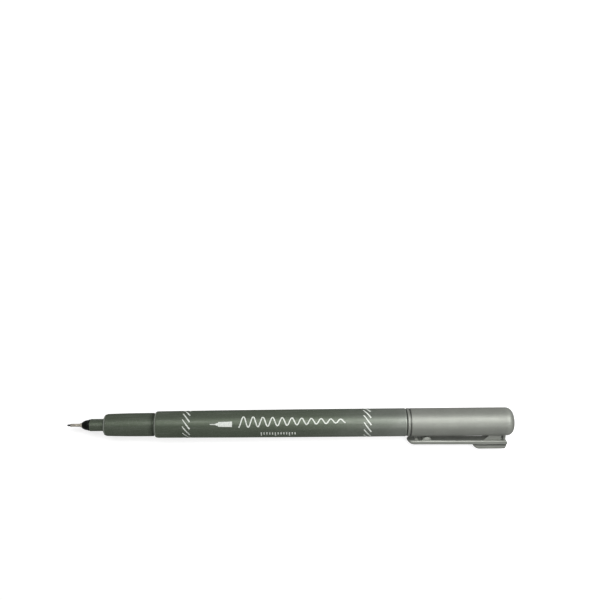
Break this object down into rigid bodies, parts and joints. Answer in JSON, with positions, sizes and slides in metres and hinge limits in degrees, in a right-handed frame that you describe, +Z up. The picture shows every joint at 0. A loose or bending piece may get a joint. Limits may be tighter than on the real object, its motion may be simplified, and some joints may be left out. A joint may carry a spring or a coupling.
{
  "type": "fineliner pen",
  "caption": "Fineliner pen with a steel needle point, a slim grip, a round barrel and a clip cap posted on its tail.",
  "frame": {"origin": "on the ground under the middle of the bounding box of the lying pen", "axes": "+X along the pen from the point to the closed end of the posted cap, +Z up from the surface it lies on; the clip leans down on the -Y side"},
  "size_m": [0.1604, 0.015, 0.01],
  "materials": {
    "barrel_grey": "satin, dark green-grey",
    "tail_grey": "satin, dark green-grey",
    "grip_grey": "satin, dark green-grey",
    "nose_black": "gloss black",
    "needle_steel": "drawn steel",
    "nib_fibre": "bonded fibre, black with ink",
    "feed_fibre": "bonded fibre, black with ink",
    "store_fibre": "fibre bundle, black with ink",
    "store_film": "clear film",
    "cap_silver": "satin, silver-grey",
    "liner_white": "milky white",
    "clip_silver": "satin, silver-grey"
  },
  "bodies": {
    "pen": {"barrel": "barrel_grey", "tail_plug": "tail_grey", "grip_section": "grip_grey", "nose_cone": "nose_black", "needle_sleeve": "needle_steel", "nib": "nib_fibre", "feed_rod": "feed_fibre", "ink_reservoir": "store_fibre", "reservoir_film": "store_film"},
    "cap_liner": {"cap_liner": "liner_white"},
    "cap": {"cap_shell": "cap_silver"},
    "clip": {"clip": "clip_silver"}
  },
  "joints": [
    {"name": "cap_slide", "type": "slide", "parent": "pen", "child": "cap_liner", "axis": [1, 0, 0], "range_m": [0, 0.03]},
    {"name": "cap_turn", "type": "hinge", "parent": "cap_liner", "child": "cap", "pos_m": [0.05287, 0.00247, 0.005], "axis": [1, 0, 0], "continuous": true},
    {"name": "clip_flex", "type": "hinge", "parent": "cap", "child": "clip", "pos_m": [0.07787, -0.00222, 0.00325], "axis": [0, -0.3494, 0.937], "range_deg": [0, 3], "stiffness_Nm_per_rad": 0.3}
  ]
}
